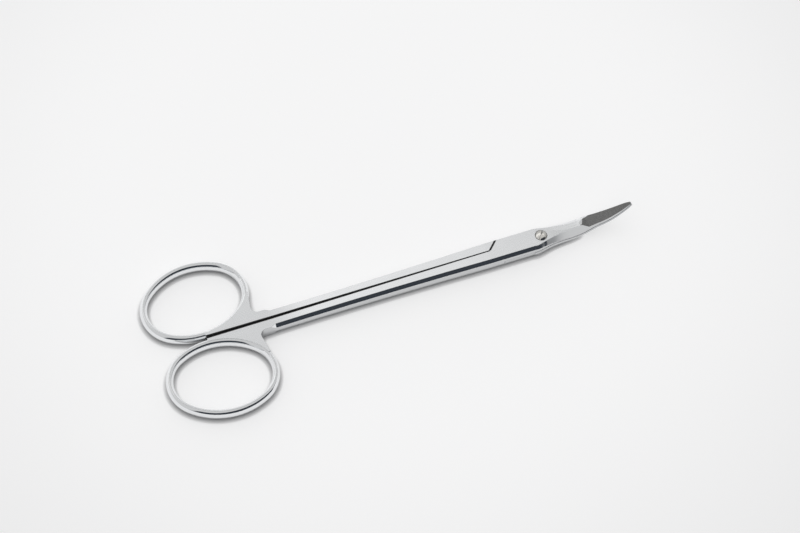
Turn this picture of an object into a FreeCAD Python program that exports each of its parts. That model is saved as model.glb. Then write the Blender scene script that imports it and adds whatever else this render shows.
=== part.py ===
import FreeCAD, Part
import math
import os
import Sketcher

# Dissecting scissors with blades curved on the flat, lying closed on a table. Lengths are in millimetres.
# Origin on the screw's axis at the table, +X to the tips, +Z up. The upper half has its handle on the
# -Y side and lies on top at the joint; the lower half has its handle on the +Y side.

SIZES = {
    # joint block, where the halves lie on each other
    "joint_thickness": 3.9,
    "joint_half_width": 2.93,
    "joint_back": 14.0,
    "lap_front": 2.5,
    "bevel_across": 0.62,
    "bevel_down": 0.95,
    "lap_clearance": 0.04,
    "shoulder_back": 13.1,
    "shoulder_clearance": 0.12,
    # shanks, measured at three places behind the screw
    "shank_waist": 46.0,
    "shank_waist_half_width": 2.5,
    "shank_waist_thickness": 3.62,
    "shank_end": 67.6,
    "shank_end_half_width": 2.54,
    "shank_end_thickness": 3.4,
    "bevel_runout": 1.2,
    "parting_gap_joint": 0.1,
    "parting_gap_ring": 0.58,
    # finger rings, a small oval section along a large oval
    "ring_centre_x": 83.4,
    "ring_centre_y": 10.73,
    "ring_long_radius": 12.36,
    "ring_short_radius": 9.48,
    "ring_end_radius": 8.1,
    "ring_turn": 7.75,
    "ring_wall": 1.76,
    "ring_height": 3.3,
    "ring_edge_radius": 0.55,
    # webs between shank and ring
    "web_start": 83.9,
    "web_edge": 72.0,
    "web_top_x": 71.0,
    "web_top_y": 8.5,
    "web_fillet": 1.5,
    # blades, bent upwards on an arc past bend_start
    "bend_start": 7.5,
    "bend_radius": 31.0,
    "bend_angle": 30.0,
    "blade_under": 0.7,
    "edge_inset": 0.1,
    # ground flat on the outside of each blade
    "flat_start": 12.1,
    "flat_runout": 2.2,
    "flat_step": 0.6,
    "flat_back_thickness": 0.8,
    "flat_tip_thickness": 0.34,
    # joint screw
    "head_radius": 1.45,
    "head_rim": 0.2,
    "head_height": 0.85,
    "head_dome": 0.12,
    "pivot_radius": 1.05,
    "thread_radius": 0.85,
    "pivot_clearance": 0.03,
    "slot_width": 0.38,
    "slot_depth": 0.45,
    "slot_turn": 54.0,
}

# Sections of the upper blade from the joint to the tip. place is the distance in front of the screw, or in
# the bent part the share of the bend's angle. Across the blade, cut is the cutting edge's distance from the
# middle, ridge_cut and ridge_back bound the ridge's flat, crest is where the spine's bevel starts and back
# is the spine's distance; all but the first two are counted towards the spine. The heights cut_edge, ridge,
# crest_up and back_edge are over the mating face.
BLADE_COLUMNS = ("place", "cut", "cut_edge", "ridge_cut", "ridge_back", "ridge", "crest", "crest_up", "back",
                 "back_edge")
STRAIGHT_SECTIONS = {
    "neck": (-2.5, 2.93, 1.0, 2.31, 1.2, 1.95, 2.31, 1.95, 2.93, 1.0),
    "collar": (-1.2, 2.93, 1.0, 2.31, 1.2, 1.95, 2.31, 1.95, 2.93, 1.0),
    "screw": (1.0, 2.45, 0.8, 1.7, 0.9, 1.93, 1.9, 1.86, 2.68, 0.95),
    "waist": (3.2, 2.12, 0.55, 1.2, 0.4, 1.85, 1.63, 1.66, 2.42, 0.82),
    "root": (5.4, 2.02, 0.42, 0.76, -0.1, 1.66, 1.5, 1.42, 2.26, 0.72),
    "bend": (7.5, 2.0, 0.38, 0.46, -0.3, 1.48, 1.4, 1.2, 2.13, 0.66),
}
BENT_SECTIONS = {
    "flare": (0.11, 1.9, 0.36, 0.3, -0.16, 1.36, 1.5, 1.06, 2.18, 0.64),
    "belly": (0.33, 1.4, 0.34, 0.3, -0.1, 1.18, 1.7, 0.94, 2.14, 0.62),
    "middle": (0.6, 1.2, 0.3, 0.5, -0.3, 0.9, 1.3, 0.8, 1.6, 0.54),
    "fore": (0.82, 0.86, 0.22, 0.36, -0.15, 0.7, 0.85, 0.62, 1.12, 0.44),
    "tip": (0.97, 0.46, 0.16, 0.2, -0.05, 0.54, 0.42, 0.5, 0.62, 0.36),
    "point": (1.015, 0.22, 0.16, 0.1, 0.0, 0.48, 0.18, 0.46, 0.32, 0.34),
}

doc = FreeCAD.newDocument("dissecting_scissors")
sheet = doc.addObject("Spreadsheet::Sheet", "Sizes")


def fill_sheet():
    """Writes every driving size into the sheet under its own name."""
    rows = dict(SIZES)
    for section, values in list(STRAIGHT_SECTIONS.items()) + list(BENT_SECTIONS.items()):
        for column, value in zip(BLADE_COLUMNS, values):
            if section + "_" + column in rows:
                raise ValueError("two sizes are named %s_%s" % (section, column))
            rows[section + "_" + column] = value
    for row, (name, value) in enumerate(rows.items(), start=1):
        sheet.set("A%d" % row, name)
        sheet.set("B%d" % row, "%g" % value)
        sheet.setAlias("B%d" % row, name)
    doc.recompute()


def number(expression):
    """The value of an expression of the sheet's sizes, worked out in a spare cell."""
    sheet.set("D1", "=" + expression.replace("Sizes.", ""))
    sheet.recompute()
    return float(sheet.get("D1"))


def size(name):
    return "Sizes." + name


def signed(side, expression):
    """The expression for side 1, and its mirror image for side -1."""
    return expression if side > 0 else "-(%s)" % expression


def parting(distance):
    """Half the gap between the handles at a distance behind the screw."""
    near, far = size("parting_gap_joint"), size("parting_gap_ring")
    start, end = size("joint_back"), size("web_start")
    return "(%s + (%s - %s) * (%s - %s) / (%s - %s)) / 2" % (near, far, near, distance, start, end, start)


def half_thickness():
    return "(%s / 2)" % size("joint_thickness")


def origin_plane(body, role):
    for feature in body.Origin.OriginFeatures:
        if feature.Role == role:
            return feature
    raise ValueError(role)


def place_sketch(body, name, role, base=("0", "0", "0"), axis=(0, 0, 1), angle="0"):
    """A sketch on one of the body's origin planes, shifted and turned by expressions."""
    sketch = body.newObject("Sketcher::SketchObject", name)
    sketch.AttachmentSupport = (origin_plane(body, role), [""])
    sketch.MapMode = "FlatFace"
    sketch.AttachmentOffset = FreeCAD.Placement(FreeCAD.Vector(), FreeCAD.Rotation(FreeCAD.Vector(*axis), 1))
    for letter, expression in zip("xyz", base):
        sketch.setExpression("AttachmentOffset.Base." + letter, expression)
    sketch.setExpression("AttachmentOffset.Rotation.Angle", angle)
    return sketch


def fix_point(sketch, item, end, place, kinds=("DistanceX", "DistanceY")):
    """Ties a point of the sketch to expressions measured from the sketch's origin."""
    for kind, expression in zip(("DistanceX", "DistanceY"), place):
        if kind in kinds:
            index = sketch.addConstraint(Sketcher.Constraint(kind, -1, 1, item, end, number(expression)))
            sketch.setExpression("Constraints[%d]" % index, expression)


def add_outline(sketch, corners, arc=None):
    """A closed outline through corners given as pairs of expressions.

    arc is the number of a side that is an arc, its centre and the coordinate that places its far end.
    """
    spots = [FreeCAD.Vector(number(across), number(up), 0) for across, up in corners]
    count = len(spots)
    ends = []
    for i in range(count):
        first, last = spots[i], spots[(i + 1) % count]
        if arc and arc[0] == i:
            middle = FreeCAD.Vector(number(arc[1][0]), number(arc[1][1]), 0)
            circle = Part.Circle(middle, FreeCAD.Vector(0, 0, 1), (first - middle).Length)
            angles = [math.atan2(spot.y - middle.y, spot.x - middle.x) for spot in (first, last)]
            forward = (angles[1] - angles[0]) % (2 * math.pi) < math.pi
            sketch.addGeometry(Part.ArcOfCircle(circle, *(angles if forward else angles[::-1])), False)
            ends.append((1, 2) if forward else (2, 1))
        else:
            sketch.addGeometry(Part.LineSegment(first, last), False)
            ends.append((1, 2))
    for i in range(count):
        following = (i + 1) % count
        sketch.addConstraint(Sketcher.Constraint("Coincident", i, ends[i][1], following, ends[following][0]))
    for i, corner in enumerate(corners):
        after_arc = arc and i == (arc[0] + 1) % count
        fix_point(sketch, i, ends[i][0], corner, (arc[2],) if after_arc else ("DistanceX", "DistanceY"))
    if arc:
        fix_point(sketch, arc[0], 3, arc[1])


def add_oval(sketch, half_width, half_height, end_radius):
    """An upright oval of four tangent arcs about the sketch's origin.

    The ends at top and bottom have the end radius, and the wide arcs at the sides follow from it.
    """
    rise, spare = "(%s - %s)" % (half_height, end_radius), "(%s - %s)" % (half_width, end_radius)
    offset = "((%s ^ 2 - %s ^ 2) / (2 * %s))" % (rise, spare, spare)
    small, wide = number(end_radius), number(half_width) + number(offset)
    lean = math.atan2(number(rise), number(offset))
    arcs = [
        (("0", rise), small, lean, math.pi - lean),
        ((offset, "0"), wide, math.pi - lean, math.pi + lean),
        (("0", "-" + rise), small, math.pi + lean, 2 * math.pi - lean),
        (("-" + offset, "0"), wide, -lean, lean),
    ]
    for centre, radius, first, last in arcs:
        middle = FreeCAD.Vector(number(centre[0]), number(centre[1]), 0)
        circle = Part.Circle(middle, FreeCAD.Vector(0, 0, 1), radius)
        sketch.addGeometry(Part.ArcOfCircle(circle, first, last), False)
    for i, (centre, radius, first, last) in enumerate(arcs):
        sketch.addConstraint(Sketcher.Constraint("Tangent", i, 2, (i + 1) % 4, 1))
        if i % 2 == 0:
            fix_point(sketch, i, 3, centre)
            index = sketch.addConstraint(Sketcher.Constraint("Radius", i, radius))
            sketch.setExpression("Constraints[%d]" % index, end_radius)
        else:
            fix_point(sketch, i, 3, centre, ("DistanceX",))


def loft(body, name, sections, ruled=False):
    feature = body.newObject("PartDesign::AdditiveLoft", name)
    feature.Profile = sections[0]
    feature.Sections = sections[1:]
    feature.Ruled = ruled
    return feature


def pad_to(body, name, sketch, length):
    pad = body.newObject("PartDesign::Pad", name)
    pad.Profile = sketch
    pad.setExpression("Length", length)
    return pad


def cut_both_ways(body, name, sketch, length):
    """A pocket that runs to both sides of its sketch."""
    pocket = body.newObject("PartDesign::Pocket", name)
    pocket.Profile = sketch
    pocket.SideType = "Symmetric"
    pocket.setExpression("Length", length)
    return pocket


def lap(body, side):
    """The lap behind the screw: one half of the joint's thickness, bevelled along both edges."""
    width, half, gap = size("joint_half_width"), half_thickness(), size("lap_clearance") + " / 2"
    flat, wall = "%s - %s" % (width, size("bevel_across")), "%s - %s" % (half, size("bevel_down"))
    outline = [(signed(-1, width), gap), (signed(-1, width), wall), (signed(-1, flat), half), (flat, half),
               (width, wall), (width, gap)]
    sketch = place_sketch(body, "lap_section", "YZ_Plane", ("0", half, "-" + size("joint_back")))
    add_outline(sketch, [(across, signed(side, up)) for across, up in outline])
    pad_to(body, "lap", sketch, "%s - %s" % (size("joint_back"), size("lap_front")))
    room_for_other_handle(body, side)


def heel(body, side):
    """The other half of the thickness, behind the slanted shoulder on the handle's side."""
    width, half, gap = size("joint_half_width"), half_thickness(), size("lap_clearance") + " / 2"
    flat, wall = "%s - %s" % (width, size("bevel_across")), "%s - %s" % (half, size("bevel_down"))
    inner = size("parting_gap_joint") + " / 2"
    outline = [(inner, gap), (inner, "-" + half), (flat, "-" + half), (width, signed(-1, wall)), (width, gap)]
    sketch = place_sketch(body, "heel_section", "YZ_Plane", ("0", half, "-" + size("joint_back")))
    add_outline(sketch, [(signed(-side, across), signed(side, up)) for across, up in outline])
    pad_to(body, "heel", sketch, "%s - %s + %s" % (size("joint_back"), size("shoulder_back"), width))
    room_for_other_lap(body, side)


def blade_section(body, side, name, bent):
    """One section of the blade, square to the mating face. side is 1 for the upper half.

    The closed blades cover each other: each spine stands edge_inset beyond the other blade's edge.
    """
    def read(column):
        return size(name + "_" + column)

    cut, back = read("cut"), read("back")
    if side < 0:
        cut, back = "(%s - %s)" % (back, size("edge_inset")), "(%s + %s)" % (cut, size("edge_inset"))
    crest = "(%s - %s + %s)" % (back, read("back"), read("crest"))
    under = size("blade_under")
    foot = "0.4 * " + under
    outline = [
        ("-%s + %s" % (cut, foot), "-" + under),
        ("-" + cut, "-%s + %s" % (under, foot)),
        ("-" + cut, read("cut_edge")),
        ("-" + read("ridge_cut"), read("ridge")),
        (read("ridge_back"), read("ridge")),
        (crest, read("crest_up")),
        (back, read("back_edge")),
        (back, "-%s + %s" % (under, foot)),
        ("%s - %s" % (back, foot), "-" + under),
    ]
    corners = [(signed(side, across), signed(side, up)) for across, up in outline]
    base, angle = ("0", half_thickness(), read("place")), "0"
    if bent:
        turn = "%s * %s" % (size("bend_angle"), read("place"))
        up = "%s + %s * (1 - cos(%s))" % (half_thickness(), size("bend_radius"), turn)
        along = "%s + %s * sin(%s)" % (size("bend_start"), size("bend_radius"), turn)
        base, angle = ("0", up, along), signed(-1, turn)
    sketch = place_sketch(body, name + "_section", "YZ_Plane", base, (1, 0, 0), angle)
    add_outline(sketch, corners)
    return sketch


def blade(body, side):
    sections = [blade_section(body, side, name, False) for name in STRAIGHT_SECTIONS]
    sections += [blade_section(body, side, name, True) for name in BENT_SECTIONS]
    loft(body, "blade", sections)


def room_for_other_handle(body, side):
    """Cuts the lap away where the other half's handle passes, behind the slanted shoulder."""
    inner, reach = size("parting_gap_joint") + " / 2", size("joint_half_width") + " + 1"
    back, front = "-%s - 1" % size("joint_back"), "-" + size("shoulder_back")
    corners = [
        (back, signed(side, inner)), (front, signed(side, inner)),
        ("%s + %s - %s" % (front, reach, inner), signed(side, reach)), (back, signed(side, reach)),
    ]
    sketch = place_sketch(body, "handle_room_outline", "XY_Plane")
    add_outline(sketch, corners)
    cut_both_ways(body, "handle_room", sketch, "4 * " + size("joint_thickness"))


def room_for_other_lap(body, side):
    """Cuts the heel along its slanted shoulder, which the other half's lap faces."""
    inner, reach = size("parting_gap_joint") + " / 2", size("joint_half_width") + " + 1"
    shoulder = "-%s - %s" % (size("shoulder_back"), size("shoulder_clearance"))
    front = shoulder + " + " + reach
    near, far = signed(-side, inner + " - 1"), signed(-side, inner + " + " + reach)
    corners = [(shoulder + " - 1", near), (front, near), (front, far)]
    depth = size("joint_thickness")
    plane = "%s + %s" % (half_thickness(), signed(side, size("lap_clearance") + " / 2 - " + depth + " / 2"))
    sketch = place_sketch(body, "lap_room_outline", "XY_Plane", ("0", "0", plane))
    add_outline(sketch, corners)
    cut_both_ways(body, "lap_room", sketch, depth)


def mating_face(body, side):
    """Turns the mating face, flat and then bent, about the screw's axis, so that the opening blades slide."""
    start, radius, half = size("bend_start"), size("bend_radius"), half_thickness()
    beyond = "1.15 * " + size("bend_angle")
    arc_radius = "(%s - %s)" % (radius, signed(side, size("lap_clearance") + " / 2"))
    level = "%s + %s - %s" % (half, radius, arc_radius)
    tip_x = "%s + %s * sin(%s)" % (start, arc_radius, beyond)
    tip_z = "%s + %s - %s * cos(%s)" % (half, radius, arc_radius, beyond)
    far_z = "-2" if side > 0 else "%s + %s" % (half, radius)
    corners = [("0", level), (start, level), (tip_x, tip_z), (tip_x, far_z), ("0", far_z)]
    sketch = place_sketch(body, "mating_outline", "XZ_Plane")
    add_outline(sketch, corners, (1, (start, "%s + %s" % (half, radius)), "DistanceX"))
    turned(body, "Groove", "mating_face", sketch)


def ground_flat(body, side):
    """Grinds the flat on the blade's outside, thinner towards the tip, with a sloping run-out at its back."""
    start, radius, half = size("bend_start"), size("bend_radius"), half_thickness()
    thick, thin, step = size("flat_back_thickness"), size("flat_tip_thickness"), size("flat_step")
    lean = "(%s - %s) / sin(%s)" % (thick, thin, size("bend_angle"))
    middle_x, middle_z = "%s + %s" % (start, signed(side, lean)), "%s + %s" % (half, radius)
    arc_radius = "(%s - %s)" % (radius, signed(side, thick))
    first_x = size("flat_start")
    first_z = "%s - sqrt(%s ^ 2 - (%s - (%s)) ^ 2)" % (middle_z, arc_radius, first_x, middle_x)
    beyond = "1.3 * " + size("bend_angle")
    last_x = "%s + %s * sin(%s)" % (middle_x, arc_radius, beyond)
    last_z = "%s - %s * cos(%s)" % (middle_z, arc_radius, beyond)
    far_z = middle_z if side > 0 else "-2"
    edge_z = "%s + %s" % (first_z, signed(side, step))
    back = "%s - %s" % (first_x, size("flat_runout"))
    corners = [(first_x, first_z), (last_x, last_z), (last_x, far_z), (back, far_z), (back, edge_z)]
    sketch = place_sketch(body, "flat_outline", "XZ_Plane")
    add_outline(sketch, corners, (0, (middle_x, middle_z), "DistanceX"))
    cut_both_ways(body, "ground_flat", sketch, "4 * " + size("joint_half_width"))


def shank_section(body, side, name, distance, width, thickness, share="1"):
    """A section of the bar; share is how much of its bevels it has."""
    inner, down = parting(distance), "%s * %s" % (share, size("bevel_down"))
    flat = "%s - %s * %s" % (width, share, size("bevel_across"))
    top = "%s - %s" % (thickness, down)
    outline = [(inner, "0"), (inner, thickness), (flat, thickness), (width, top), (width, down), (flat, "0")]
    corners = [(signed(-side, across), up) for across, up in outline]
    sketch = place_sketch(body, name, "YZ_Plane", ("0", "0", signed(-1, distance)))
    add_outline(sketch, corners)
    return sketch


def shank(body, side):
    """The handle's bar, and behind it the short run-out of its bevels."""
    end = size("shank_end")
    width, thickness = size("shank_end_half_width"), size("shank_end_thickness")
    front = shank_section(body, side, "shank_front", size("joint_back"), size("joint_half_width"),
                          size("joint_thickness"))
    waist = shank_section(body, side, "shank_middle", size("shank_waist"), size("shank_waist_half_width"),
                          size("shank_waist_thickness"))
    back = shank_section(body, side, "shank_back", end, width, thickness)
    loft(body, "shank", [front, waist, back])
    again = shank_section(body, side, "runout_front", end, width, thickness)
    square = shank_section(body, side, "runout_back", "(%s + %s)" % (end, size("bevel_runout")), width,
                           thickness, "0.06")
    loft(body, "runout", [again, square], ruled=True)


def web(body, side):
    """The flat web that joins shank and ring, with its rounded inner corner and the ring's room."""
    start = "(%s + %s)" % (size("shank_end"), size("bevel_runout"))
    width, middle_x, middle_y = size("shank_end_half_width"), size("ring_centre_x"), size("ring_centre_y")
    outline = [
        (signed(-1, start), parting(start)), (signed(-1, start), width), ("-" + size("web_edge"), width),
        ("-" + size("web_top_x"), size("web_top_y")),
        ("-%s + 0.5 * %s" % (middle_x, size("ring_long_radius")), size("web_top_y")),
        ("-" + size("web_start"), "%s - 0.8 * %s" % (middle_y, size("ring_short_radius"))),
        ("-" + size("web_start"), parting(size("web_start"))),
    ]
    sketch = place_sketch(body, "web_outline", "XY_Plane")
    add_outline(sketch, [(across, signed(-side, up)) for across, up in outline])
    pad = pad_to(body, "web", sketch, size("shank_end_thickness"))
    doc.recompute()
    corner = FreeCAD.Vector(-number(size("web_edge")), -side * number(width), 1)
    fillet = body.newObject("PartDesign::Fillet", "web_corner")
    fillet.Base = (pad, ["Edge%d" % edge_through(pad.Shape, corner)])
    fillet.setExpression("Radius", size("web_fillet"))
    room = place_sketch(body, "ring_room_outline", "XY_Plane", ring_place(side), angle=ring_angle(side))
    add_oval(room, size("ring_short_radius"), size("ring_long_radius"), size("ring_end_radius"))
    cut_both_ways(body, "ring_room", room, "4 * " + size("ring_height"))


def edge_through(shape, point):
    """The number of the edge that passes nearest to a point."""
    spot = Part.Vertex(point)
    distances = [edge.distToShape(spot)[0] for edge in shape.Edges]
    return distances.index(min(distances)) + 1


def ring_place(side):
    level = size("shank_end_thickness") + " / 2"
    return ("-" + size("ring_centre_x"), signed(-side, size("ring_centre_y")), level)


def ring_angle(side):
    """The turn of the ring's oval, whose long axis is its sketch's Y."""
    return "90 + " + signed(-side, size("ring_turn"))


def finger_ring(body, side):
    """The finger ring: a small upright oval swept along the large level one."""
    path = place_sketch(body, "ring_path", "XY_Plane", ring_place(side), angle=ring_angle(side))
    add_oval(path, size("ring_short_radius"), size("ring_long_radius"), size("ring_end_radius"))
    long_radius, turn = size("ring_long_radius"), size("ring_turn")
    end_x = "-%s - %s * cos(%s)" % (size("ring_centre_x"), long_radius, turn)
    end_y = signed(side, "%s - %s * sin(%s)" % (size("ring_centre_y"), long_radius, turn))
    base = (end_x, size("shank_end_thickness") + " / 2", end_y)
    section = place_sketch(body, "ring_section", "XZ_Plane", base, (0, 1, 0), "90 + " + ring_angle(side))
    add_oval(section, "%s / 2" % size("ring_wall"), "%s / 2" % size("ring_height"), size("ring_edge_radius"))
    pipe = body.newObject("PartDesign::AdditivePipe", "ring")
    pipe.Profile = section
    pipe.Spine = (path, ["Edge1", "Edge2", "Edge3", "Edge4"])


def turned(body, kind, name, sketch):
    feature = body.newObject("PartDesign::" + kind, name)
    feature.Profile = sketch
    feature.ReferenceAxis = (sketch, ["V_Axis"])
    feature.Angle = 360
    return feature


def screw_hole(body, side):
    """The upper half's pivot bore and countersink, or the lower half's threaded hole."""
    top, half = size("joint_thickness"), half_thickness()
    sketch = place_sketch(body, "hole_outline", "XZ_Plane")
    if side > 0:
        bore = "%s + %s" % (size("pivot_radius"), size("pivot_clearance"))
        head = "%s + %s" % (size("head_radius"), size("pivot_clearance"))
        seat, rim = "%s - %s" % (top, size("head_height")), "%s - %s" % (top, size("head_rim"))
        corners = [("0", half + " - 1"), (bore, half + " - 1"), (bore, seat), (head, rim), (head, top + " + 1"),
                   ("0", top + " + 1")]
    else:
        corners = [("0", "-1"), (size("thread_radius"), "-1"), (size("thread_radius"), half + " + 1"),
                   ("0", half + " + 1")]
    add_outline(sketch, corners)
    turned(body, "Groove", "screw_hole", sketch)


def scissor_half(name, side):
    """One half: side 1 is the upper half with its handle on the -Y side, -1 the lower half."""
    body = doc.addObject("PartDesign::Body", name)
    body.Label = name
    blade(body, side)
    mating_face(body, side)
    ground_flat(body, side)
    lap(body, side)
    heel(body, side)
    shank(body, side)
    web(body, side)
    finger_ring(body, side)
    screw_hole(body, side)
    return body


def joint_screw():
    """The turned screw: threaded end, pivot that seats on the lower half, countersunk domed head, slot."""
    body = doc.addObject("PartDesign::Body", "joint_screw")
    body.Label = "joint_screw"
    top, head, dome = size("joint_thickness"), size("head_radius"), size("head_dome")
    seat = "%s - %s / 2" % (half_thickness(), size("lap_clearance"))
    curve = "((%s ^ 2 + %s ^ 2) / (2 * %s))" % (head, dome, dome)
    crown = "%s + %s" % (top, dome)
    corners = [
        (head, top), ("0", crown), ("0", "0"), (size("thread_radius"), "0"), (size("thread_radius"), seat),
        (size("pivot_radius"), seat), (size("pivot_radius"), "%s - %s" % (top, size("head_height"))),
        (head, "%s - %s" % (top, size("head_rim"))),
    ]
    sketch = place_sketch(body, "screw_outline", "XZ_Plane")
    add_outline(sketch, corners, (0, ("0", "%s - %s" % (crown, curve)), "DistanceX"))
    turned(body, "Revolution", "turned_screw", sketch)
    depth = size("slot_depth")
    slot = place_sketch(body, "slot_outline", "XY_Plane", ("0", "0", crown), angle=size("slot_turn"))
    reach, width = head + " + 1", size("slot_width") + " / 2"
    add_outline(slot, [(signed(-1, reach), signed(-1, width)), (reach, signed(-1, width)), (reach, width),
                       (signed(-1, reach), width)])
    cut_both_ways(body, "slot", slot, "2 * " + depth)
    return body


def check(body):
    for item in list(body.Group) + [body]:
        if "Invalid" in item.State or "Error" in item.State:
            raise RuntimeError("%s: %s is %s" % (body.Label, item.Name, item.State))
    if body.Shape.isNull() or not body.Shape.isValid() or len(body.Shape.Solids) != 1:
        raise RuntimeError("%s has no single valid solid" % body.Label)


fill_sheet()
bodies = [scissor_half("upper_half", 1), scissor_half("lower_half", -1), joint_screw()]
doc.recompute()
os.makedirs("parts", exist_ok=True)
for body in bodies:
    check(body)
    body.Shape.exportStep("parts/%s.step" % body.Label)
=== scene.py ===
import bpy
from mathutils import Matrix, Vector

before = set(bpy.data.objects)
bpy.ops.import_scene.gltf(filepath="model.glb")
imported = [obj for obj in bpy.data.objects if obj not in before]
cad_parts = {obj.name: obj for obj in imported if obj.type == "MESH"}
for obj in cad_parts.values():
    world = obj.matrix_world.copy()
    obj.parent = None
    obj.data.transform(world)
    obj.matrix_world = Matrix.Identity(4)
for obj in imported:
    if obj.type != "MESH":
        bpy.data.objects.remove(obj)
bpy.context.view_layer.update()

# The closed scissors lie on a pale floor, seen from in front and above. The three CAD pieces get their
# materials here and no further shapes. Lengths are in metres, X runs along the handles to the tip.

MM = 0.001
WHITE = (1, 1, 1, 1)

# camera, fitted to the photograph
CAMERA_EYE = Vector((-157.9, -287.4, 504.1)) * MM
CAMERA_RIGHT = Vector((0.93707, -0.34798, 0.02849))
CAMERA_UP = Vector((0.28039, 0.79865, 0.53248))
CAMERA_LENS = 112.5
CAMERA_SENSOR = 36.0
CAMERA_NEAR = 0.01
CAMERA_FAR = 20

# the room: bright overhead, brighter low beyond the object, and dark low on the near side
BRIGHT_LEVEL = 0.66
FAR_LOW_LEVEL = 1.05
FAR_FROM, FAR_FULL = 0.2, 0.6
LOW_FROM, LOW_FULL = 0.62, 0.40
DARK_LEVEL = (0.040, 0.046, 0.056, 1)
NEAR_AXIS = (0.26, -0.966, 0.0)
NEAR_START = 0.42
NEAR_WEIGHT = 1.6
DARK_BELOW = 0.02
BRIGHT_ABOVE = 0.20

# the lamp
PANEL_DIRECTION = Vector((-0.10, 0.62, 0.78)).normalized()
PANEL_DISTANCE = 1.2
PANEL_SIZE = 0.8
PANEL_POWER = 0.8

# floor
FLOOR_SIZE = 4.0
FLOOR_DROP = 0.02 * MM
FLOOR_COLOR = (0.52, 0.52, 0.524, 1)
FLOOR_ROUGHNESS = 0.6
FLOOR_GLOW = 0.56
FLOOR_SHADE_REACH = 1.3 * MM
FLOOR_SHADE_POWER = 2.6
FLOOR_SHADE_SAMPLES = 12
FLOOR_MIDDLE = (-30.0 * MM, 30.0 * MM, 0.0)
FLOOR_FADE_FROM = 60.0 * MM
FLOOR_FADE_TO = 170.0 * MM
FLOOR_FADE = 0.2

# which surfaces count as flat, as wall, as facing outward and so on, by the normal's share along an axis
FLAT_FROM, FLAT_FULL = 0.93, 0.985
WALL_BELOW = 0.2
INNER_WALL_BELOW = 0.25
EDGE_BAND_ABOVE = 0.6
OUTSIDE_FROM, OUTSIDE_FULL = 0.70, 0.80
GROUND_TILT_FROM, GROUND_TILT_FULL = 0.10, 0.22
FACET_SLOPE_FROM, FACET_SLOPE_FULL = 0.25, 0.4
FACET_LEVEL_FROM, FACET_LEVEL_FULL = 0.2, 0.4

# satin flats, with painted shade making them a little darker at the webs
SATIN_COLOR = (0.80, 0.81, 0.82)
SATIN_SPREAD = 0.03
SATIN_ROUGHNESS_LOW, SATIN_ROUGHNESS_HIGH = 0.21, 0.33
WEB_PAINTED_SHADE = 0.8
WEB_FULL_X, WEB_FROM_X = -70 * MM, -58 * MM

# polished bevels, walls and rings
POLISHED_COLOR = (0.84, 0.85, 0.86)
POLISHED_ROUGHNESS_LOW, POLISHED_ROUGHNESS_HIGH = 0.04, 0.10
# painted shade: the outer walls are darkened by this factor
WALL_PAINTED_SHADE = 0.74
RING_FULL_X, RING_FROM_X = -74.0 * MM, -72.0 * MM
RING_CROWN = 1.4
EDGE_ROUNDING = 0.09 * MM
RING_EDGE_ROUNDING = 0.009 * MM
ROUNDING_SAMPLES = 6

# the blade: a slanted facet, and a dark flat ground on the front of its outside
FACET_FROM_X, FACET_FULL_X = -0.2 * MM, 1.0 * MM
FACET_ROUGHNESS = 0.34
FACET_LIFT = 0.32
GROUND_COLOR = (0.17, 0.17, 0.168)
GROUND_DARK_SPECK, GROUND_PALE_SPECK = 0.8, 1.25
GROUND_SPECK_FROM, GROUND_SPECK_FULL = 0.3, 0.7
GROUND_ROUGHNESS = 0.42
GROUND_FROM_X, GROUND_FULL_X = 9.95 * MM, 10.1 * MM
GROUND_MIDDLE_Y = 0.4 * MM
GROUND_FAR_WIDTH = 1.1 * MM
GROUND_NEAR_WIDTH = 1.5 * MM
GROUND_ROUND_END = 1.3 * MM

# the dull walls between the handles and at the shoulder, darkened as painted shade, and the band of painted
# shade along their top edges
INNER_WALL_PAINTED_SHADE = (0.30, 0.30, 0.305)
INNER_ROUGHNESS = 0.5
INNER_DEPTH = 0.6 * MM
INNER_UNTIL_X = -83.9 * MM
SHOULDER_DEPTH = 2.2 * MM
SHOULDER_FROM_X, SHOULDER_FULL_X = -14.5 * MM, -14.0 * MM
SHOULDER_TO_X = -7.0 * MM
GAP_EDGE_PAINTED_SHADE = (0.05, 0.05, 0.052)
PARTING_FROM_X = -14.0 * MM
PARTING_BAND = 0.16 * MM
PARTING_SLOPE = 0.0045
SLIT_X = -13.21 * MM
SLIT_BAND = 0.34 * MM

# grain along the piece, clouds and specks, as noise
GRAIN_SCALES = (90.0, 5200.0, 5200.0)
GRAIN_DETAIL = 3.0
GRAIN_STRENGTH = 0.05
CLOUD_SCALE = 260.0
CLOUD_DETAIL = 4.0
SPECK_SCALE = 5200.0
SPECK_DETAIL = 2.0
BUMP_DEPTH = 0.01 * MM

# the screw's head
HEAD_COLOR = (0.80, 0.78, 0.74, 1)
# painted shade on the head's rim and in its slot
HEAD_PAINTED_SHADE = (0.16, 0.15, 0.14, 1)
HEAD_RIM_FROM, HEAD_RIM_FULL = 1.28 * MM, 1.42 * MM
HEAD_SLOT_BELOW = 0.6
HEAD_CROWN = 400.0
HEAD_GROOVES = 62000.0
HEAD_GROOVE_STRENGTH = 0.06
HEAD_ROUGHNESS = 0.15
HEAD_ANISOTROPY = 0.6


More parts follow.
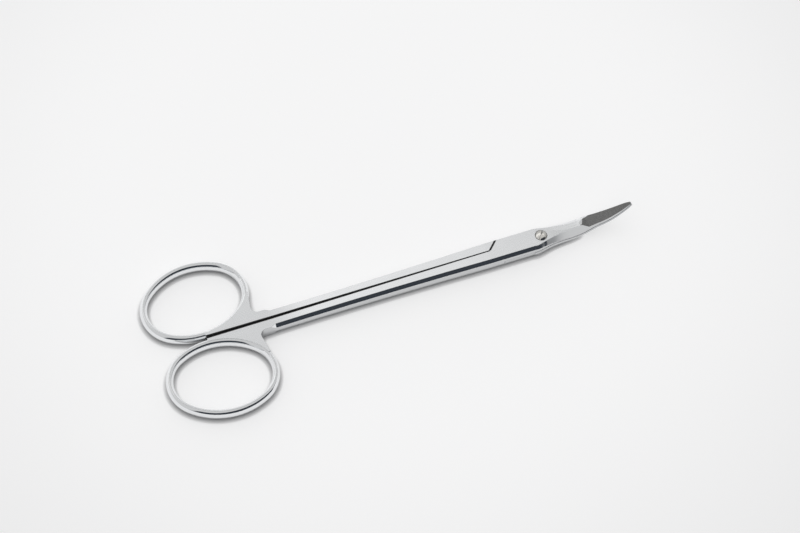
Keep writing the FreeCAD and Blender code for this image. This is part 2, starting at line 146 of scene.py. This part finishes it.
class Nodes:
    """Short calls to build a node tree."""

    def __init__(self, tree):
        self.tree = tree
        tree.nodes.clear()

    def add(self, kind, inputs=(), **settings):
        node = self.tree.nodes.new(kind)
        for name, value in settings.items():
            setattr(node, name, value)
        for socket, value in dict(inputs).items():
            self.set(node, socket, value)
        return node

    def set(self, node, socket, value):
        if isinstance(value, bpy.types.NodeSocket):
            self.tree.links.new(value, node.inputs[socket])
        else:
            node.inputs[socket].default_value = value

    def math(self, operation, first, second=0.0):
        return self.add("ShaderNodeMath", {0: first, 1: second}, operation=operation).outputs[0]

    def less(self, first, second):
        return self.math("LESS_THAN", first, second)

    def more(self, first, second):
        return self.math("GREATER_THAN", first, second)

    def product(self, *values):
        result = values[0]
        for value in values[1:]:
            result = self.math("MULTIPLY", result, value)
        return result

    def size(self, value):
        return self.math("ABSOLUTE", value)

    def rest(self, share):
        """What is left of 1."""
        return self.math("SUBTRACT", 1.0, share)

    def step(self, value, low, high):
        """0 at low, 1 at high, smooth in between."""
        inputs = {"Value": value, "From Min": low, "From Max": high}
        return self.add("ShaderNodeMapRange", inputs, interpolation_type="SMOOTHSTEP").outputs[0]

    def mix(self, share, first, second):
        """From the first colour to the second."""
        return self.add("ShaderNodeMix", {0: share, 6: first, 7: second}, data_type="RGBA").outputs[2]

    def mix_vector(self, share, first, second):
        return self.add("ShaderNodeMix", {0: share, 4: first, 5: second}, data_type="VECTOR").outputs[1]

    def mix_number(self, share, first, second):
        return self.add("ShaderNodeMix", {0: share, 2: first, 3: second}, data_type="FLOAT").outputs[0]

    def split(self, vector):
        return self.add("ShaderNodeSeparateXYZ", {0: vector}).outputs

    def noise(self, place, scale, detail):
        return self.add("ShaderNodeTexNoise", {"Vector": place, "Scale": scale, "Detail": detail}).outputs[0]

    def bump(self, height, strength, depth, normal=None):
        inputs = {"Strength": strength, "Distance": depth, "Height": height}
        if normal is not None:
            inputs["Normal"] = normal
        return self.add("ShaderNodeBump", inputs).outputs[0]


def new_material(name):
    material = bpy.data.materials.new(name)
    material.use_nodes = True
    return material, Nodes(material.node_tree)


def rgba(color, factor=1.0):
    return tuple(channel * factor for channel in color) + (1,)


def ground_flat(nodes, point, facing, outward):
    """Share of the dark flat on the blade's outside, which has a rounded back end."""
    outside = nodes.step(nodes.math("MULTIPLY", facing["Z"], float(outward)), OUTSIDE_FROM, OUTSIDE_FULL)
    even = nodes.rest(nodes.step(nodes.size(facing["Y"]), GROUND_TILT_FROM, GROUND_TILT_FULL))
    offset = nodes.math("SUBTRACT", point["Y"], GROUND_MIDDLE_Y)
    aside = nodes.math("MAXIMUM", nodes.math("MULTIPLY", offset, 1 / GROUND_FAR_WIDTH),
                       nodes.math("MULTIPLY", offset, -1 / GROUND_NEAR_WIDTH))
    end = nodes.math("SUBTRACT", point["X"], nodes.product(aside, aside, GROUND_ROUND_END))
    return nodes.product(outside, even, nodes.step(end, GROUND_FROM_X, GROUND_FULL_X))


def blade_facet(nodes, point, facing, level, outward):
    """Share of the blade's slanted facet."""
    blade = nodes.step(point["X"], FACET_FROM_X, FACET_FULL_X)
    slope = nodes.step(nodes.math("MULTIPLY", facing["Y"], -float(outward)), FACET_SLOPE_FROM, FACET_SLOPE_FULL)
    return nodes.product(blade, slope, nodes.step(level, FACET_LEVEL_FROM, FACET_LEVEL_FULL))


def painted_inner_wall_shade(nodes, point, level, before_ring_end):
    """Share of the walls that face the other half, between the handles and at the shoulder, which are darkened
    as painted shade.
    """
    shoulder = nodes.step(point["X"], SHOULDER_FROM_X, SHOULDER_FULL_X)
    depth = nodes.mix_number(shoulder, INNER_DEPTH, SHOULDER_DEPTH)
    near_line = nodes.less(nodes.math("DIVIDE", nodes.size(point["Y"]), depth), 1.0)
    return nodes.product(near_line, nodes.less(level, INNER_WALL_BELOW), nodes.less(point["X"], SHOULDER_TO_X),
                         before_ring_end)


def painted_gap_edge_shade(nodes, point, facing, level, before_ring_end):
    """Share of the narrow bands of painted shade along the parting line and along both edges of the shoulder's
    slanted slit.
    """
    behind = nodes.math("SUBTRACT", PARTING_FROM_X, point["X"])
    band = nodes.math("ADD", nodes.math("MULTIPLY", behind, PARTING_SLOPE), PARTING_BAND)
    parting = nodes.product(nodes.less(nodes.size(point["Y"]), band), nodes.less(point["X"], SLIT_X),
                            before_ring_end)
    across = nodes.math("MULTIPLY", facing["Z"], point["Y"])
    slant = nodes.math("SUBTRACT", nodes.math("SUBTRACT", point["X"], across), SLIT_X)
    slit = nodes.product(nodes.less(nodes.size(slant), SLIT_BAND), nodes.more(across, 0.0))
    return nodes.product(nodes.math("MAXIMUM", parting, slit), nodes.more(level, EDGE_BAND_ABOVE))


def steel(name, outward):
    """Steel with satin flats, polished bevels and rings, and a dark ground flat on the blade's outside.

    outward is 1 where the blade's outside faces up, -1 where it faces down.
    """
    material, nodes = new_material(name)
    place = nodes.add("ShaderNodeTexCoord").outputs
    point, facing = nodes.split(place["Object"]), nodes.split(place["Normal"])
    stretched = nodes.add("ShaderNodeMapping", {"Vector": place["Object"], "Scale": GRAIN_SCALES}).outputs[0]
    grain = nodes.noise(stretched, 1.0, GRAIN_DETAIL)
    cloud = nodes.noise(place["Object"], CLOUD_SCALE, CLOUD_DETAIL)
    speck = nodes.noise(place["Object"], SPECK_SCALE, SPECK_DETAIL)

    level = nodes.size(facing["Z"])
    flat = nodes.step(level, FLAT_FROM, FLAT_FULL)
    web_shade = nodes.rest(nodes.step(point["X"], WEB_FULL_X, WEB_FROM_X))
    ring = nodes.rest(nodes.step(point["X"], RING_FULL_X, RING_FROM_X))
    wall = nodes.product(nodes.less(level, WALL_BELOW), nodes.rest(ring))
    before_ring_end = nodes.more(point["X"], INNER_UNTIL_X)
    ground = ground_flat(nodes, point, facing, outward)
    facet = blade_facet(nodes, point, facing, level, outward)
    inner_shade = painted_inner_wall_shade(nodes, point, level, before_ring_end)
    edge_shade = painted_gap_edge_shade(nodes, point, facing, level, before_ring_end)

    satin = nodes.mix(cloud, rgba(SATIN_COLOR, 1 - SATIN_SPREAD), rgba(SATIN_COLOR, 1 + SATIN_SPREAD))
    # painted shade: the webs are darker
    satin = nodes.mix(web_shade, satin, rgba(SATIN_COLOR, WEB_PAINTED_SHADE))
    color = nodes.mix(flat, rgba(POLISHED_COLOR), satin)
    # painted shade: the outer walls are darker
    color = nodes.mix(wall, color, rgba(POLISHED_COLOR, WALL_PAINTED_SHADE))
    dark = nodes.mix(nodes.step(speck, GROUND_SPECK_FROM, GROUND_SPECK_FULL),
                     rgba(GROUND_COLOR, GROUND_DARK_SPECK), rgba(GROUND_COLOR, GROUND_PALE_SPECK))
    color = nodes.mix(ground, color, dark)
    # painted shade: the walls between the halves are darkened
    color = nodes.mix(inner_shade, color, rgba(INNER_WALL_PAINTED_SHADE))
    # painted shade: near-black bands along the parting line and the slit
    color = nodes.mix(edge_shade, color, rgba(GAP_EDGE_PAINTED_SHADE))

    satin_rough = nodes.mix_number(grain, SATIN_ROUGHNESS_LOW, SATIN_ROUGHNESS_HIGH)
    polished_rough = nodes.mix_number(cloud, POLISHED_ROUGHNESS_LOW, POLISHED_ROUGHNESS_HIGH)
    rough = nodes.mix_number(flat, polished_rough, satin_rough)
    rough = nodes.mix_number(facet, rough, FACET_ROUGHNESS)
    rough = nodes.mix_number(ground, rough, GROUND_ROUGHNESS)
    rough = nodes.mix_number(nodes.math("MAXIMUM", inner_shade, edge_shade), rough, INNER_ROUGHNESS)

    # the edges are rounded, the facet leans outward, and the rings' crowns bend the light more
    radius = nodes.mix_number(ring, EDGE_ROUNDING, RING_EDGE_ROUNDING)
    rounded = nodes.add("ShaderNodeBevel", {"Radius": radius}, samples=ROUNDING_SAMPLES).outputs[0]
    outside_up = nodes.add("ShaderNodeVectorTransform", {0: (0.0, 0.0, float(outward))},
                           vector_type="NORMAL", convert_from="OBJECT", convert_to="WORLD").outputs[0]
    leaning = nodes.mix_vector(nodes.math("MULTIPLY", facet, FACET_LIFT), rounded, outside_up)
    crown = nodes.add("ShaderNodeCombineXYZ", {0: 1.0, 1: 1.0, 2: nodes.mix_number(ring, 1.0, RING_CROWN)})
    crowned = nodes.add("ShaderNodeVectorMath", {0: leaning, 1: crown.outputs[0]}, operation="MULTIPLY")
    normal = nodes.add("ShaderNodeVectorMath", {0: crowned.outputs[0]}, operation="NORMALIZE").outputs[0]
    shader = nodes.add("ShaderNodeBsdfPrincipled", {
        "Base Color": color, "Metallic": 1.0, "Roughness": rough,
        "Normal": nodes.bump(grain, GRAIN_STRENGTH, BUMP_DEPTH, normal)})
    nodes.add("ShaderNodeOutputMaterial", {"Surface": shader.outputs[0]})
    return material


def turned_steel(name):
    """Bright steel turned on a lathe: a domed head whose rim and slot are darkened as painted shade, shining
    along the radius.
    """
    material, nodes = new_material(name)
    place = nodes.add("ShaderNodeTexCoord").outputs
    point, facing = nodes.split(place["Object"]), nodes.split(place["Normal"])
    square = nodes.math("ADD", nodes.product(point["X"], point["X"]), nodes.product(point["Y"], point["Y"]))
    radius = nodes.math("SQRT", square)
    domed = nodes.bump(nodes.product(radius, radius, -HEAD_CROWN), 1.0, 1.0)
    grooves = nodes.math("SINE", nodes.math("MULTIPLY", radius, HEAD_GROOVES))
    # painted shade: the rim around the head and the slot's walls are darkened
    dark = nodes.math("MAXIMUM", nodes.step(radius, HEAD_RIM_FROM, HEAD_RIM_FULL),
                      nodes.less(nodes.size(facing["Z"]), HEAD_SLOT_BELOW))
    tangent = nodes.add("ShaderNodeTangent", direction_type="RADIAL", axis="Z").outputs[0]
    shader = nodes.add("ShaderNodeBsdfPrincipled", {
        "Base Color": nodes.mix(dark, HEAD_COLOR, HEAD_PAINTED_SHADE), "Metallic": 1.0,
        "Roughness": HEAD_ROUGHNESS, "Anisotropic": HEAD_ANISOTROPY, "Tangent": tangent,
        "Normal": nodes.bump(grooves, HEAD_GROOVE_STRENGTH, BUMP_DEPTH, domed)})
    nodes.add("ShaderNodeOutputMaterial", {"Surface": shader.outputs[0]})
    return material


def dress(node, material):
    """Gives a CAD node its material."""
    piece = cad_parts[node]
    if not piece.data.materials:
        piece.data.materials.append(material)
    for slot in piece.material_slots:
        slot.link = "OBJECT"
        slot.material = material


def floor():
    """The pale floor, which glows for the camera and in reflections: painted light, held back as painted shadow
    close under the object and dimmed towards the edges.
    """
    bpy.ops.mesh.primitive_plane_add(size=FLOOR_SIZE, location=(0, 0, -FLOOR_DROP))
    plane = bpy.context.object
    plane.name = "floor"
    material, nodes = new_material("pale_floor")
    shader = nodes.add("ShaderNodeBsdfPrincipled", {
        "Base Color": FLOOR_COLOR, "Roughness": FLOOR_ROUGHNESS, "Specular IOR Level": 0.0}).outputs[0]
    open_sky = nodes.add("ShaderNodeAmbientOcclusion", {"Distance": FLOOR_SHADE_REACH},
                         samples=FLOOR_SHADE_SAMPLES).outputs["AO"]
    shade = nodes.math("POWER", open_sky, FLOOR_SHADE_POWER)
    place = nodes.add("ShaderNodeTexCoord").outputs["Object"]
    away = nodes.add("ShaderNodeVectorMath", {0: place, 1: FLOOR_MIDDLE}, operation="DISTANCE").outputs["Value"]
    fade = nodes.step(away, FLOOR_FADE_FROM, FLOOR_FADE_TO)
    strength = nodes.product(shade, nodes.mix_number(fade, FLOOR_GLOW, FLOOR_GLOW * (1 - FLOOR_FADE)))
    glow = nodes.add("ShaderNodeEmission", {"Color": WHITE, "Strength": strength}).outputs[0]
    lighter = nodes.add("ShaderNodeAddShader", {0: shader, 1: glow}).outputs[0]
    path = nodes.add("ShaderNodeLightPath").outputs
    seen = nodes.math("MAXIMUM", path["Is Camera Ray"], path["Is Glossy Ray"])
    seen = nodes.math("MAXIMUM", seen, path["Is Transmission Ray"])
    mixed = nodes.add("ShaderNodeMixShader", {0: seen, 1: shader, 2: lighter}).outputs[0]
    nodes.add("ShaderNodeOutputMaterial", {"Surface": mixed})
    plane.data.materials.append(material)


def room():
    """The world: a glow beyond the object, and a near side that is dark from the horizon up."""
    world = bpy.data.worlds.new("studio")
    bpy.context.scene.world = world
    world.use_nodes = True
    nodes = Nodes(world.node_tree)
    direction = nodes.add("ShaderNodeTexCoord").outputs["Generated"]
    parts = nodes.split(direction)
    nearness = nodes.add("ShaderNodeVectorMath", {0: direction, 1: NEAR_AXIS}, operation="DOT_PRODUCT")
    nearness = nodes.math("SUBTRACT", nearness.outputs["Value"], NEAR_START)
    height = nodes.math("SUBTRACT", parts["Z"], nodes.math("MULTIPLY", nearness, NEAR_WEIGHT))
    bright = nodes.step(height, DARK_BELOW, BRIGHT_ABOVE)
    far_low = nodes.product(nodes.step(parts["Y"], FAR_FROM, FAR_FULL),
                            nodes.step(parts["Z"], LOW_FROM, LOW_FULL))
    level = nodes.mix_number(far_low, BRIGHT_LEVEL, FAR_LOW_LEVEL)
    lit = nodes.add("ShaderNodeBackground", {
        "Color": nodes.mix(bright, DARK_LEVEL, WHITE), "Strength": nodes.mix_number(bright, 1.0, level)})
    nodes.add("ShaderNodeOutputWorld", {"Surface": lit.outputs[0]})


def panel():
    """One soft square lamp above the far side, aimed at the joint."""
    light = bpy.data.lights.new("panel", "AREA")
    light.shape = "SQUARE"
    light.size = PANEL_SIZE
    light.energy = PANEL_POWER
    lamp = bpy.data.objects.new("panel", light)
    bpy.context.collection.objects.link(lamp)
    lamp.location = PANEL_DIRECTION * PANEL_DISTANCE
    lamp.rotation_euler = PANEL_DIRECTION.to_track_quat("Z", "Y").to_euler()


def camera():
    data = bpy.data.cameras.new("camera")
    data.sensor_fit = "HORIZONTAL"
    data.sensor_width = CAMERA_SENSOR
    data.lens = CAMERA_LENS
    data.clip_start = CAMERA_NEAR
    data.clip_end = CAMERA_FAR
    eye = bpy.data.objects.new("camera", data)
    bpy.context.collection.objects.link(eye)
    back = CAMERA_RIGHT.cross(CAMERA_UP)
    columns = Matrix((CAMERA_RIGHT, CAMERA_UP, back)).transposed()
    eye.matrix_world = Matrix.Translation(CAMERA_EYE) @ columns.to_4x4()
    bpy.context.scene.camera = eye


dress("upper_half", steel("steel_upper", 1))
dress("lower_half", steel("steel_lower", -1))
dress("joint_screw", turned_steel("steel_turned"))
floor()
room()
panel()
camera()
bpy.context.scene.view_settings.view_transform = "Standard"
